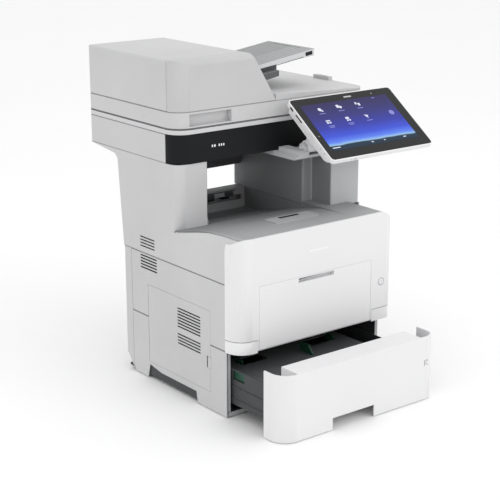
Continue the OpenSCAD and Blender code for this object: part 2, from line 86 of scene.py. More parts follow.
def plastic(name, rgb, rough=0.45, grain=0.25, tone=0.05, grain_scale=900.0, spec=0.4, edge_highlight=0.5, shade_lines=(), faces=(), shade_grad=None, marks=()):
    """Moulded plastic: fine spark-eroded grain, faint tone drift, and a painted highlight: the convex edges are
    coloured lighter.
    dark lines (axis, low, high, amount) in mm: painted shade; faces (direction, threshold, rgb): painted light and
    shade by facing; gradient (axis, from, to, rgb) in mm: painted shade."""
    m, nt, bs = new_mat(name)
    L = nt.links
    tc = add(nt, "ShaderNodeTexCoord")
    big = add(nt, "ShaderNodeTexNoise", Scale=4.0, Detail=3.0, Roughness=0.55)
    L.new(tc.outputs["Object"], big.inputs["Vector"])
    mid = add(nt, "ShaderNodeTexNoise", Scale=60.0, Detail=2.0, Roughness=0.5)
    L.new(tc.outputs["Object"], mid.inputs["Vector"])
    ramp = add(nt, "ShaderNodeValToRGB")
    c = srgb(*rgb)
    lo = tuple(max(0.0, x * (1.0 - tone)) for x in c[:3]) + (1,)
    hi = tuple(min(1.0, x * (1.0 + tone)) for x in c[:3]) + (1,)
    ramp.color_ramp.elements[0].position, ramp.color_ramp.elements[0].color = 0.3, lo
    ramp.color_ramp.elements[1].position, ramp.color_ramp.elements[1].color = 0.7, hi
    L.new(big.outputs["Fac"], ramp.inputs["Fac"])
    # Painted highlight: convex edges, found by pointiness, are mixed towards a lighter colour.
    geo = add(nt, "ShaderNodeNewGeometry")
    edge = add(nt, "ShaderNodeMapRange")
    edge.inputs["From Min"].default_value = 0.5
    edge.inputs["From Max"].default_value = 0.62
    edge.inputs["To Min"].default_value = 0.0
    edge.inputs["To Max"].default_value = 0.10 * edge_highlight
    L.new(geo.outputs["Pointiness"], edge.inputs["Value"])
    mix = add(nt, "ShaderNodeMix", data_type="RGBA")
    mix.inputs[7].default_value = tuple(min(1.0, x * 1.25 + 0.02) for x in c[:3]) + (1,)
    L.new(edge.outputs["Result"], mix.inputs[0])
    L.new(ramp.outputs["Color"], mix.inputs[6])
    out = mix.outputs[2]
    off = {"X": OX, "Y": OY, "Z": 0.0}
    sep = add(nt, "ShaderNodeSeparateXYZ")
    L.new(tc.outputs["Object"], sep.inputs[0])

    def blend_in(fac, colour, amount=1.0):
        nonlocal out
        mx = add(nt, "ShaderNodeMix", data_type="RGBA")
        mx.inputs[7].default_value = colour
        if amount < 1.0:
            mu = add(nt, "ShaderNodeMath", operation="MULTIPLY")
            mu.inputs[1].default_value = amount
            L.new(fac, mu.inputs[0])
            fac = mu.outputs[0]
        L.new(fac, mx.inputs[0])
        L.new(out, mx.inputs[6])
        out = mx.outputs[2]

    # Painted shade: a smooth gradient along one axis towards a second colour.
    if shade_grad:
        ax, g0, g1, grgb = shade_grad
        mr = add(nt, "ShaderNodeMapRange", interpolation_type="SMOOTHSTEP")
        mr.inputs["From Min"].default_value = (g0 + off[ax]) / 1000.0
        mr.inputs["From Max"].default_value = (g1 + off[ax]) / 1000.0
        L.new(sep.outputs[ax], mr.inputs["Value"])
        blend_in(mr.outputs["Result"], srgb(*grgb))
    # Painted light and shade by facing: faces turned towards a given direction take their own colour.
    for d, thr, frgb in faces:
        vm = add(nt, "ShaderNodeVectorMath", operation="DOT_PRODUCT")
        vm.inputs[1].default_value = d
        L.new(tc.outputs["Normal"], vm.inputs[0])
        gt = add(nt, "ShaderNodeMapRange")
        gt.inputs["From Min"].default_value = thr - 0.1
        gt.inputs["From Max"].default_value = thr + 0.1
        L.new(vm.outputs["Value"], gt.inputs["Value"])
        blend_in(gt.outputs["Result"], srgb(*frgb))
    # Painted shade: dark lines at given heights or depths, standing in for the shade in seams and beside ribs.
    for ax, b0, b1, amount in shade_lines:
        cm = add(nt, "ShaderNodeMath", operation="COMPARE")
        cm.inputs[1].default_value = ((b0 + b1) / 2 + off[ax]) / 1000.0
        cm.inputs[2].default_value = (b1 - b0) / 2000.0
        L.new(sep.outputs[ax], cm.inputs[0])
        fac = cm.outputs[0]
        if ax == "Z":
            # a seam line belongs to the upright faces only
            sn = add(nt, "ShaderNodeSeparateXYZ")
            L.new(tc.outputs["Normal"], sn.inputs[0])
            ab = add(nt, "ShaderNodeMath", operation="ABSOLUTE")
            L.new(sn.outputs["Z"], ab.inputs[0])
            lt = add(nt, "ShaderNodeMath", operation="LESS_THAN")
            lt.inputs[1].default_value = 0.8
            L.new(ab.outputs[0], lt.inputs[0])
            mm = add(nt, "ShaderNodeMath", operation="MULTIPLY")
            L.new(fac, mm.inputs[0])
            L.new(lt.outputs[0], mm.inputs[1])
            fac = mm.outputs[0]
        blend_in(fac, (0.02, 0.02, 0.022, 1), amount)
    for x0, x1, z0, z1, amount in marks:
        cx = add(nt, "ShaderNodeMath", operation="COMPARE")
        cx.inputs[1].default_value = ((x0 + x1) / 2 + OX) / 1000.0
        cx.inputs[2].default_value = (x1 - x0) / 2000.0
        L.new(sep.outputs["X"], cx.inputs[0])
        cz = add(nt, "ShaderNodeMath", operation="COMPARE")
        cz.inputs[1].default_value = (z0 + z1) / 2000.0
        cz.inputs[2].default_value = (z1 - z0) / 2000.0
        L.new(sep.outputs["Z"], cz.inputs[0])
        both = add(nt, "ShaderNodeMath", operation="MULTIPLY")
        L.new(cx.outputs[0], both.inputs[0])
        L.new(cz.outputs[0], both.inputs[1])
        blend_in(both.outputs[0], (0.05, 0.05, 0.052, 1), amount)
    L.new(out, bs.inputs["Base Color"])
    rr = add(nt, "ShaderNodeMapRange")
    rr.inputs["From Min"].default_value = 0.25
    rr.inputs["From Max"].default_value = 0.75
    rr.inputs["To Min"].default_value = rough - 0.05
    rr.inputs["To Max"].default_value = rough + 0.06
    L.new(mid.outputs["Fac"], rr.inputs["Value"])
    L.new(rr.outputs["Result"], bs.inputs["Roughness"])
    bs.inputs["Specular IOR Level"].default_value = spec
    if grain > 0:
        fine = add(nt, "ShaderNodeTexNoise", Scale=grain_scale, Detail=2.0, Roughness=0.6)
        L.new(tc.outputs["Object"], fine.inputs["Vector"])
        bump = add(nt, "ShaderNodeBump", Strength=grain, Distance=0.00012)
        L.new(fine.outputs["Fac"], bump.inputs["Height"])
        L.new(bump.outputs["Normal"], bs.inputs["Normal"])
    return m


def metal(name, rgb, rough=0.32, axis=0, strength=0.25):
    """Drawn or rolled steel: long brush marks along one axis."""
    m, nt, bs = new_mat(name)
    L = nt.links
    tc = add(nt, "ShaderNodeTexCoord")
    mp = add(nt, "ShaderNodeMapping")
    s = [700.0, 700.0, 700.0]
    s[axis] = 12.0
    mp.inputs["Scale"].default_value = s
    L.new(tc.outputs["Object"], mp.inputs["Vector"])
    n = add(nt, "ShaderNodeTexNoise", Scale=1.0, Detail=4.0, Roughness=0.6)
    L.new(mp.outputs["Vector"], n.inputs["Vector"])
    ramp = add(nt, "ShaderNodeValToRGB")
    c = srgb(*rgb)
    ramp.color_ramp.elements[0].position, ramp.color_ramp.elements[0].color = 0.25, tuple(x * 0.8 for x in c[:3]) + (1,)
    ramp.color_ramp.elements[1].position, ramp.color_ramp.elements[1].color = 0.75, c
    L.new(n.outputs["Fac"], ramp.inputs["Fac"])
    L.new(ramp.outputs["Color"], bs.inputs["Base Color"])
    rr = add(nt, "ShaderNodeMapRange")
    rr.inputs["To Min"].default_value = rough - 0.08
    rr.inputs["To Max"].default_value = rough + 0.12
    L.new(n.outputs["Fac"], rr.inputs["Value"])
    L.new(rr.outputs["Result"], bs.inputs["Roughness"])
    bs.inputs["Metallic"].default_value = 1.0
    bump = add(nt, "ShaderNodeBump", Strength=strength, Distance=0.0001)
    L.new(n.outputs["Fac"], bump.inputs["Height"])
    L.new(bump.outputs["Normal"], bs.inputs["Normal"])
    return m


M = {}
GREY = (197, 197, 198)
M["grey"] = plastic("shell_grey", GREY, rough=0.5, spec=0.25)
# Faces towards +X and +Y take the shell grey, all other faces the dark grey: painted light and shade by facing.
M["base"] = plastic("base_grey", (70, 72, 74), rough=0.5, grain=0.3, tone=0.06, spec=0.25, faces=[((1, 0, 0), 0.7, GREY), ((0, 1, 0), 0.7, GREY)])
# Dark seam lines on the left covers: painted shade in the gaps between the covers.
M["grey_low"] = plastic("shell_grey_low", GREY, rough=0.5, spec=0.25, shade_lines=[("Z", 130.6, 132.4, 0.5)])
M["grey_mid"] = plastic("shell_grey_mid", GREY, rough=0.5, spec=0.25, shade_lines=[("Z", 132.4, 133.9, 0.5), ("Z", 260.2, 261.6, 0.5)])
# The upper cover's faces towards +X are painted darker: painted shade.
M["grey_up"] = plastic("shell_grey_up", GREY, rough=0.5, spec=0.25, shade_lines=[("Z", 262.0, 263.2, 0.5)], faces=[((1, 0, 0), 0.6, (96, 97, 99))])
# Dark seam lines: painted shade in the gaps; the underside, faces towards -Z, painted darker: painted shade under the
# scanner.
M["grey_scan"] = plastic("shell_grey_scanner", GREY, rough=0.5, spec=0.25, shade_lines=[("Z", 510.7, 512.1, 0.7), ("Z", 456.0, 457.2, 0.4)], faces=[((0, 0, -1), 0.7, (120, 121, 123))])
# Dark seam lines on the frame, lid and cap: painted shade in the gaps between parts.
M["grey_frame"] = plastic("shell_grey_frame", (203, 203, 204), rough=0.5, spec=0.25, shade_lines=[("Z", 520.9, 522.8, 0.85)])
M["grey_base"] = plastic("shell_grey_lid", GREY, rough=0.5, spec=0.25, shade_lines=[("Z", 523.0, 524.5, 0.85), ("Z", 553.8, 555.2, 0.5)])
M["grey_cap"] = plastic("shell_grey_cap", (193, 193, 194), rough=0.5, spec=0.25, shade_lines=[("Z", 555.2, 556.0, 0.3)])
# A dark line on the feed cover is painted shade in a gap; its faces towards +X are painted darker: painted shade.
M["grey_top"] = plastic("shell_grey_top", GREY, rough=0.5, spec=0.25, shade_lines=[("Y", -34.9, -34.2, 0.3)], faces=[((1, 0, 0), 0.6, (160, 161, 163))])
# Faces towards -Y and -Z painted dark grey: painted shade on the beam's front and underside.
M["grey_beam"] = plastic("shell_grey_beam", (193, 193, 194), rough=0.5, spec=0.25, faces=[((0, -1, 0), 0.6, (84, 85, 87)), ((0, 0, -1), 0.6, (80, 81, 83))])
# Darker below X 60 and on faces towards -X: painted shade inside the output cavity.
M["grey_pillar"] = plastic("shell_grey_pillar", (186, 187, 188), rough=0.5, spec=0.25, shade_grad=("X", 69.0, 60.0, (150, 151, 153)), faces=[((-1, 0, 0), 0.75, (126, 127, 129))])
# Darker towards the back, from Y -240 to -100, and on faces towards -X and +X: painted shade under the scanner.
M["grey_tray"] = plastic("shell_grey_tray", (168, 169, 170), rough=0.5, spec=0.2, shade_grad=("Y", -240.0, -100.0, (132, 133, 135)), faces=[((-1, 0, 0), 0.75, (120, 121, 123)), ((1, 0, 0), 0.75, (110, 111, 113))])
M["white"] = plastic("shell_white", (230, 230, 231), rough=0.42, grain=0.12, tone=0.010, spec=0.3)
M["white_drawer"] = plastic("shell_white_drawer", (228, 228, 229), rough=0.42, grain=0.12, tone=0.010, spec=0.3,
                            marks=[(112, 114, 71, 83, 0.7), (116, 117.6, 74, 85, 0.55), (118.6, 122.5, 80, 82.4, 0.6), (118.6, 122.5, 72, 74.2, 0.6), (114.6, 115.4, 76, 79, 0.5)])
M["white_front"] = plastic("shell_white_front", (228, 228, 229), rough=0.42, grain=0.12, tone=0.010, spec=0.3)
M["black"] = plastic("shell_black", (21, 22, 24), rough=0.36, grain=0.04, tone=0.10, spec=0.14)
M["bezel"] = plastic("bezel_black", (16, 17, 19), rough=0.16, grain=0.0, tone=0.10, spec=0.3)
M["dark"] = plastic("inner_dark", (30, 31, 33), rough=0.55, grain=0.35, tone=0.15, spec=0.2)
# A darker grey for the exit housing and the stopper's end recess: painted shade inside the output cavity.
M["cavity_shade"] = plastic("exit_shade_grey", (158, 159, 161), rough=0.55, grain=0.3, tone=0.1, spec=0.2)
M["tray"] = plastic("tray_grey", (176, 177, 178), rough=0.48, grain=0.3, spec=0.25)
M["stop"] = plastic("stopper_grey", (172, 173, 174), rough=0.45, grain=0.2, spec=0.25)
M["mid"] = plastic("dark_grey", (70, 72, 74), rough=0.50, grain=0.3, tone=0.08, spec=0.25)
# Dark lines along the tray are painted shade beside the ribs; faces towards -Y painted lighter and faces tilted towards
# +X painted dark: painted light and shade by facing.
M["mid2"] = plastic("feeder_tray_grey", (158, 159, 160), rough=0.46, grain=0.3, tone=0.05, spec=0.25, shade_lines=[("Y", -9.0 + 12.2 * i, -7.4 + 12.2 * i, 0.35) for i in range(12)], faces=[((0, -1, 0), 0.7, (206, 207, 208)), ((0.95, 0, 0.3), 0.85, (70, 71, 73))])
# Top faces, towards +Z, painted lighter than the dark rest: painted light on the tops.
M["support"] = plastic("feeder_support_grey", (98, 99, 101), rough=0.5, grain=0.3, spec=0.2, faces=[((0, 0, 1), 0.7, (176, 177, 179))])
M["steel"] = metal("steel", (200, 202, 205))
M["steel_y"] = metal("steel_sheet", (176, 178, 180), axis=1, rough=0.4)
M["plate"] = plastic("plate_grey", (92, 94, 96), rough=0.5, grain=0.3, spec=0.25)
M["rubber"] = plastic("rubber", (36, 36, 38), rough=0.72, grain=0.6, grain_scale=1500.0, spec=0.25)
M["red_rubber"] = plastic("red_rubber", (139, 58, 46), rough=0.6, grain=0.3, spec=0.3)
M["drum"] = plastic("drum_coat", (52, 120, 132), rough=0.16, grain=0.0, spec=0.6)
M["green"] = plastic("green_plastic", (34, 76, 58), rough=0.4, grain=0.2, tone=0.1)
M["board"] = plastic("circuit_board", (36, 96, 62), rough=0.42, grain=0.4, grain_scale=300.0, tone=0.25)
M["sheet"] = plastic("sheet_white", (243, 243, 240), rough=0.7, grain=0.3, tone=0.01)
M["ink"] = plastic("print_grey", (188, 189, 191), rough=0.5, grain=0.0, tone=0.05)
M["ink_white"] = plastic("print_white", (240, 240, 241), rough=0.5, grain=0.0, tone=0.02)
M["bracket"] = plastic("bracket_grey", (196, 197, 198), rough=0.48, spec=0.25)
M["recess"] = plastic("grip_grey", (190, 191, 192), rough=0.5, spec=0.2, grain=0.3)

# glass
m, nt, bs = new_mat("glass")
bs.inputs["Roughness"].default_value = 0.03
bs.inputs["Transmission Weight"].default_value = 0.9
bs.inputs["IOR"].default_value = 1.5
tc = add(nt, "ShaderNodeTexCoord")
nz = add(nt, "ShaderNodeTexNoise", Scale=6.0, Detail=2.0)
nt.links.new(tc.outputs["Object"], nz.inputs["Vector"])
rp = add(nt, "ShaderNodeValToRGB")
rp.color_ramp.elements[0].color = (0.78, 0.87, 0.86, 1)
rp.color_ramp.elements[1].color = (0.84, 0.92, 0.91, 1)
nt.links.new(nz.outputs["Fac"], rp.inputs["Fac"])
nt.links.new(rp.outputs["Color"], bs.inputs["Base Color"])
M["glass"] = m

slot_mat = {"shell_grey": "grey", "shell_white": "white", "shell_black": "black", "inner_dark": "dark", "tray_grey": "tray", "dark_grey": "mid",
            "steel": "steel", "rubber": "rubber", "red_rubber": "red_rubber", "drum_coat": "drum", "glass": "glass", "screen_glass": "black",
            "green": "green", "board": "board", "sheet_white": "sheet"}
node_mat = {"panel_bracket": "bracket", "adf_input_tray": "mid2", "lift_plate": "plate", "side_plates": "steel_y", "power_supply": "steel_y", "adf_tray_support": "support",
            "left_cover_lower": "grey_low", "left_cover_middle": "grey_mid", "left_cover_upper": "grey_up", "scanner_base": "grey_scan",
            "scanner_top_frame": "grey_frame", "adf_base": "grey_base", "adf_end_caps": "grey_cap", "adf_feed_cover": "grey_top",
            "rear_beam_cover": "grey_beam", "right_pillar_cover": "grey_pillar", "top_cover": "grey_tray", "exit_housing": "cavity_shade",
            "panel_bezel": "bezel", "base_housing": "base", "output_stopper": "stop", "drawer_front": "white_drawer", "front_cover": "white_front"}


def set_mat(o, m):
    o.data.materials.clear()
    o.data.materials.append(m)


def smooth_by_angle(o, deg=32):
    me = o.data
    for p in me.polygons:
        p.use_smooth = True
    try:
        me.set_sharp_from_angle(angle=math.radians(deg))
    except Exception:
        pass


no_bevel = {"platen_glass", "side_plates", "controller_board", "rear_cover", "scanner_front_panel"}
small = {"adf_end_caps": 0.45, "adf_feed_cover": 0.45, "adf_base": 0.5, "bypass_door": 0.6, "power_button": 0.5, "door_latch": 0.4, "adf_guide_front": 0.5, "adf_guide_rear": 0.5, "platen_sheet": 0.3, "lift_plate": 0.4,
         "side_fence_left": 0.5, "side_fence_right": 0.5, "end_fence": 0.5, "front_lower_trim": 0.6, "left_access_door": 0.7, "left_cover_lower": 0.7,
         "left_cover_middle": 0.7, "left_cover_upper": 0.7, "right_cover": 0.7, "panel_bezel": 0.35, "output_stopper": 1.0, "power_inlet": 0.4}
for rec in frame["record"]["subparts"]:
    name, sl = rec["node"], rec["material_slot"]
    o = N[name]
    set_mat(o, M[node_mat.get(name, slot_mat[sl])])
    if name in no_bevel:
        continue
    w = o.modifiers.new("weld", "WELD")
    w.merge_threshold = 0.00002
    d = o.modifiers.new("flat", "DECIMATE")
    d.decimate_type = "DISSOLVE"
    d.angle_limit = math.radians(0.6)
    b = o.modifiers.new("edge", "BEVEL")
    b.width = small.get(name, 0.9) / 1000.0
    b.segments = 2
    b.limit_method = "ANGLE"
    b.angle_limit = math.radians(38)
    b.harden_normals = True
    b.use_clamp_overlap = True

for o in [N["scanner_front_panel"]]:
    w = o.modifiers.new("weld", "WELD")
    w.merge_threshold = 0.00002


# ------------------------------------------------------------------ added pieces
ID = Matrix.Translation(P(0, 0, 0))
TILT = math.radians(35.6)
PANEL = Matrix.Translation(P(0, -223.7, 464.2)) @ Matrix.Rotation(TILT, 4, "X")


def make(name, bm, mat, body, frame_m=ID):
    """Finish a bmesh (built in millimetres in frame_m) as a piece riding on a body."""
    bmesh.ops.recalc_face_normals(bm, faces=bm.faces)
    for v in bm.verts:
        v.co *= 0.001
    me = bpy.data.meshes.new(name)
    bm.to_mesh(me)
    bm.free()
    for f in me.polygons:
        f.use_smooth = True
    try:
        me.set_sharp_from_angle(angle=math.radians(35))
    except Exception:
        pass
    o = bpy.data.objects.new(name, me)
    scene.collection.objects.link(o)
    o.matrix_world = frame_m
    o.data.materials.append(M[mat])
    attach(o, body)
    return o


def bevel_all(bm, r, seg=2, angle=0.5):
    if r > 0:
        es = [e for e in bm.edges if len(e.link_faces) == 2 and e.calc_face_angle(0) > angle]
        bmesh.ops.bevel(bm, geom=es, offset=r, segments=seg, profile=0.5, affect="EDGES", clamp_overlap=True)


def bm_box(bm, x0, x1, y0, y1, z0, z1):
    vs = [bm.verts.new(c) for c in [(x0, y0, z0), (x1, y0, z0), (x1, y1, z0), (x0, y1, z0), (x0, y0, z1), (x1, y0, z1), (x1, y1, z1), (x0, y1, z1)]]
    for f in [(0, 3, 2, 1), (4, 5, 6, 7), (0, 1, 5, 4), (1, 2, 6, 5), (2, 3, 7, 6), (3, 0, 4, 7)]:
        bm.faces.new([vs[i] for i in f])


def rbox(name, x0, x1, y0, y1, z0, z1, mat, body, r=0.4, frame_m=ID, seg=2):
    bm = bmesh.new()
    bm_box(bm, x0, x1, y0, y1, z0, z1)
    bevel_all(bm, r, seg)
    return make(name, bm, mat, body, frame_m)


def rrect(x0, x1, y0, y1, r, n=6):
    pts = []
    for cx, cy, a0 in [(x1 - r, y1 - r, 0), (x0 + r, y1 - r, 90), (x0 + r, y0 + r, 180), (x1 - r, y0 + r, 270)]:
        for i in range(n + 1):
            a = math.radians(a0 + 90 * i / n)
            pts.append((cx + r * math.cos(a), cy + r * math.sin(a)))
    return pts


def bm_prism(bm, pts, w0, w1, plane="XY"):
    def at(u, v, w):
        return {"XY": (u, v, w), "XZ": (u, w, v), "YZ": (w, u, v)}[plane]
    lo = [bm.verts.new(at(u, v, w0)) for u, v in pts]
    hi = [bm.verts.new(at(u, v, w1)) for u, v in pts]
    n = len(pts)
    bm.faces.new(lo[::-1])
    bm.faces.new(hi)
    for i in range(n):
        bm.faces.new([lo[i], lo[(i + 1) % n], hi[(i + 1) % n], hi[i]])


def prism(name, pts, w0, w1, mat, body, plane="XY", r=0.0, frame_m=ID):
    bm = bmesh.new()
    bm_prism(bm, pts, w0, w1, plane)
    bevel_all(bm, r, 2, 0.9)
    return make(name, bm, mat, body, frame_m)


def disc(cx, cy, r, n=28):
    return [(cx + r * math.cos(2 * math.pi * i / n), cy + r * math.sin(2 * math.pi * i / n)) for i in range(n)]


def screws(name, pts, plane, w0, w1, body, r=3.2, mat="steel"):
    """Pan-head screws, the heads in one mesh; the cross recess is painted shade, drawn as dark inserts in a second
    mesh.
    """
    bm = bmesh.new()
    d = 1 if w1 > w0 else -1
    for u, v in pts:
        bm_prism(bm, disc(u, v, r, 20), w0, w0 + (w1 - w0) * 0.55, plane)
        bm_prism(bm, disc(u, v, r * 0.72, 20), w0 + (w1 - w0) * 0.5, w1, plane)
    o = make(name, bm, mat, body)
    # Cross recess: dark inserts, painted shade.
    bm = bmesh.new()
    for u, v in pts:
        for a in (0.3, 0.3 + math.pi / 2):
            c, s2 = math.cos(a), math.sin(a)
            q = [(-r * 0.5, -0.35), (r * 0.5, -0.35), (r * 0.5, 0.35), (-r * 0.5, 0.35)]
            bm_prism(bm, [(u + x * c - y * s2, v + x * s2 + y * c) for x, y in q], w1 - 0.3 * d, w1 + 0.06 * d, plane)
    make(name + "_slots", bm, "dark", body)
    return o


OP = "operation_panel"
# screen: lit panel under the glass, with plain generic pictograms
m, nt, bs = new_mat("screen_lit")
tc = add(nt, "ShaderNodeTexCoord")
sp = add(nt, "ShaderNodeSeparateXYZ")
nt.links.new(tc.outputs["Object"], sp.inputs[0])
mr = add(nt, "ShaderNodeMapRange")
mr.inputs["From Min"].default_value = 0.0184
mr.inputs["From Max"].default_value = 0.1417
nt.links.new(sp.outputs["Y"], mr.inputs["Value"])
wv = add(nt, "ShaderNodeTexNoise", Scale=22.0, Detail=1.0)
nt.links.new(tc.outputs["Object"], wv.inputs["Vector"])
ad = add(nt, "ShaderNodeMath", operation="MULTIPLY_ADD")
ad.inputs[1].default_value = 0.05
nt.links.new(wv.outputs["Fac"], ad.inputs[0])
nt.links.new(mr.outputs["Result"], ad.inputs[2])
rp = add(nt, "ShaderNodeValToRGB")
cr = rp.color_ramp
cr.elements[0].position, cr.elements[0].color = 0.0, srgb(24, 44, 62)
cr.elements[1].position, cr.elements[1].color = 1.0, srgb(50, 44, 92)
for pos, col in [(0.115, (26, 50, 70)), (0.135, (150, 190, 225)), (0.19, (92, 128, 235)), (0.30, (60, 82, 210)), (0.48, (52, 60, 165)), (0.70, (52, 52, 124)), (0.92, (50, 47, 98))]:
    e = cr.elements.new(pos)
    e.color = srgb(*col)
nt.links.new(ad.outputs[0], rp.inputs["Fac"])
dk = add(nt, "ShaderNodeMix", data_type="RGBA")
dk.inputs[0].default_value = 0.85
nt.links.new(rp.outputs["Color"], dk.inputs[6])
dk.inputs[7].default_value = (0, 0, 0, 1)
nt.links.new(dk.outputs[2], bs.inputs["Base Color"])
nt.links.new(rp.outputs["Color"], bs.inputs["Emission Color"])
bs.inputs["Emission Strength"].default_value = 0.9
bs.inputs["Roughness"].default_value = 0.12
bs.inputs["Specular IOR Level"].default_value = 0.2
M["screen"] = m
m, nt, bs = new_mat("icon_lit")
tc = add(nt, "ShaderNodeTexCoord")
wv = add(nt, "ShaderNodeTexNoise", Scale=400.0, Detail=1.0)
nt.links.new(tc.outputs["Object"], wv.inputs["Vector"])
rp = add(nt, "ShaderNodeValToRGB")
rp.color_ramp.elements[0].color = srgb(200, 208, 245)
rp.color_ramp.elements[1].color = srgb(250, 250, 255)
nt.links.new(wv.outputs["Fac"], rp.inputs["Fac"])
bs.inputs["Base Color"].default_value = (0.1, 0.1, 0.1, 1)
nt.links.new(rp.outputs["Color"], bs.inputs["Emission Color"])
bs.inputs["Emission Strength"].default_value = 0.85
M["icon"] = m
m, nt, bs = new_mat("caption_lit")
tc = add(nt, "ShaderNodeTexCoord")
wv = add(nt, "ShaderNodeTexNoise", Scale=600.0, Detail=1.0)
nt.links.new(tc.outputs["Object"], wv.inputs["Vector"])
rp = add(nt, "ShaderNodeValToRGB")
rp.color_ramp.elements[0].color = srgb(110, 114, 200)
rp.color_ramp.elements[1].color = srgb(140, 146, 225)
nt.links.new(wv.outputs["Fac"], rp.inputs["Fac"])
bs.inputs["Base Color"].default_value = (0.05, 0.05, 0.1, 1)
nt.links.new(rp.outputs["Color"], bs.inputs["Emission Color"])
bs.inputs["Emission Strength"].default_value = 0.8
M["caption"] = m

prism("panel_screen", rrect(21.7, 247.6, 18.4, 141.7, 1.2, 3), 0.32, 0.46, "screen", OP, frame_m=PANEL)
bm = bmesh.new()
w0, w1 = 0.44, 0.58
for k, (x, v) in enumerate([(61, 126), (111, 127), (161, 127), (61, 92), (111, 92), (161, 92)]):
    if k == 0:
        bm_prism(bm, disc(x, v, 4.2), w0, w1)
        bm_prism(bm, [(x + 1, v - 5.5), (x + 5.5, v - 1), (x + 6.5, v - 6.5)], w0, w1)
    elif k == 1:
        bm_prism(bm, rrect(x - 6, x + 1, v - 3, v + 5, 1, 2), w0, w1)
        bm_prism(bm, disc(x + 3.4, v - 2, 3.4, 18), w0, w1 + 0.05)
    elif k == 2:
        bm_prism(bm, rrect(x - 6, x - 1.4, v - 1, v + 5, 1, 2), w0, w1)
        bm_prism(bm, rrect(x, x + 5.5, v - 5, v + 2, 1, 2), w0, w1)
    elif k == 3:
        bm_prism(bm, rrect(x - 6, x + 5, v + 1.2, v + 4.2, 0.8, 2), w0, w1)
        bm_prism(bm, rrect(x - 6, x - 1, v - 4.6, v - 0.4, 0.8, 2), w0, w1)
        bm_prism(bm, rrect(x + 1, x + 5, v - 4.6, v - 0.4, 0.8, 2), w0, w1)
    elif k == 4:
        bm_prism(bm, rrect(x - 5, x + 4, v, v + 5.5, 1.4, 2), w0, w1)
        bm_prism(bm, disc(x - 2.6, v - 3.2, 2.2, 16), w0, w1)
        bm_prism(bm, disc(x + 3, v - 3.2, 2.2, 16), w0, w1)
    else:
        bm_prism(bm, [(x - 5, v + 5), (x + 5, v + 2), (x + 1, v - 1), (x + 2, v - 6), (x - 2, v - 2)], w0, w1)
make("panel_icons", bm, "icon", OP, PANEL)
bm = bmesh.new()
for x, v, n in [(61, 126, 1), (111, 127, 1), (161, 127, 1), (61, 92, 2), (111, 92, 2), (161, 92, 1)]:
    for j in range(n):
        wd = 7.5 - 1.5 * j
        bm_prism(bm, rrect(x - wd, x + wd, v - 12.2 - 3.6 * j, v - 10.4 - 3.6 * j, 0.6, 2), w0, w1)
bm_prism(bm, disc(228, 92, 6.4, 30), w0, w1)
bm_prism(bm, rrect(205, 214, 136, 137.6, 0.5, 2), w0, w1)
make("panel_captions", bm, "caption", OP, PANEL)
bm = bmesh.new()
for x, wd in [(35, 10), (128, 3), (160, 2), (214, 3.5)]:
    bm_prism(bm, rrect(x - wd, x + wd, 24.5, 26.7, 0.9, 2), w0, w1)
make("panel_bar_marks", bm, "icon", OP, PANEL)
# printed and moulded marks on the bezel, lip and left side; the dark slots on the left side are painted shade
bm = bmesh.new()
bm_prism(bm, rrect(140, 160, 148, 151.5, 1.2, 2), 0.3, 0.38)
bm_prism(bm, disc(214, 149.5, 1.3, 14), 0.3, 0.38)
bm_prism(bm, disc(14, 60, 1.0, 14), 0.3, 0.38)
make("bezel_marks", bm, "ink", OP, PANEL)
bm = bmesh.new()
bm_prism(bm, rrect(60, 67, -6.4, -3.0, 1.2, 2), -4.62, -4.4, "XZ")
bm_prism(bm, rrect(50, 57, -5.4, -4.0, 0.6, 2), -4.62, -4.4, "XZ")
make("lip_mark", bm, "ink", OP, PANEL)
# Dark sheets: painted shade in the left side's slots.
bm = bmesh.new()
bm_prism(bm, rrect(136, 147, -6.6, -2.6, 1.2, 2), 3.38, 3.56, "YZ")
bm_prism(bm, rrect(104, 126, -6.4, -3.2, 1.2, 2), 3.38, 3.56, "YZ")
make("panel_side_slots", bm, "dark", OP, PANEL)
bm = bmesh.new()
for v in (20, 34):
    bm_prism(bm, disc(v, -5.0, 1.6, 14), 3.36, 3.5, "YZ")
bm_prism(bm, rrect(60, 76, -5.6, -4.4, 0.5, 2), 3.38, 3.5, "YZ")
make("panel_side_keys", bm, "ink", OP, PANEL)

# generic mark on the black band, on the front cover and beside the button
MF = "main_frame"
bm = bmesh.new()
for i, (a0, a1) in enumerate([(-157, -153), (-151.6, -147), (-141, -137), (-135.6, -131.6), (-130.2, -126.4)]):
    bm_prism(bm, rrect(a0, a1 - 1.2, 482.2, 487.0, 0.8, 2), -63.52, -63.38, "XZ")
make("band_mark", bm, "ink_white", MF)
bm = bmesh.new()
bm_prism(bm, rrect(-71, -26, 303.6, 306.4, 1.0, 2), -252.5, -252.38, "XZ")
make("front_mark", bm, "ink_white", "front_cover")
bm = bmesh.new()
n = 36
ring = []
for i in range(n):
    a = 2 * math.pi * i / n
    ring.append([bm.verts.new((113 + rr * math.cos(a), yy, 210 + rr * math.sin(a))) for rr, yy in [(6.7, -252.36), (6.85, -253.0), (7.6, -253.1), (8.3, -252.36)]])
for i in range(n):
    q, t = ring[i], ring[(i + 1) % n]
    for j in range(4):
        bm.faces.new([q[j], t[j], t[(j + 1) % 4], q[(j + 1) % 4]])
make("button_ring", bm, "ink", "front_cover")
bm = bmesh.new()
bm_prism(bm, rrect(112.3, 113.7, 210.2, 213.6, 0.4, 2), -253.1, -252.98, "XZ")
make("button_mark", bm, "ink", "power_button")

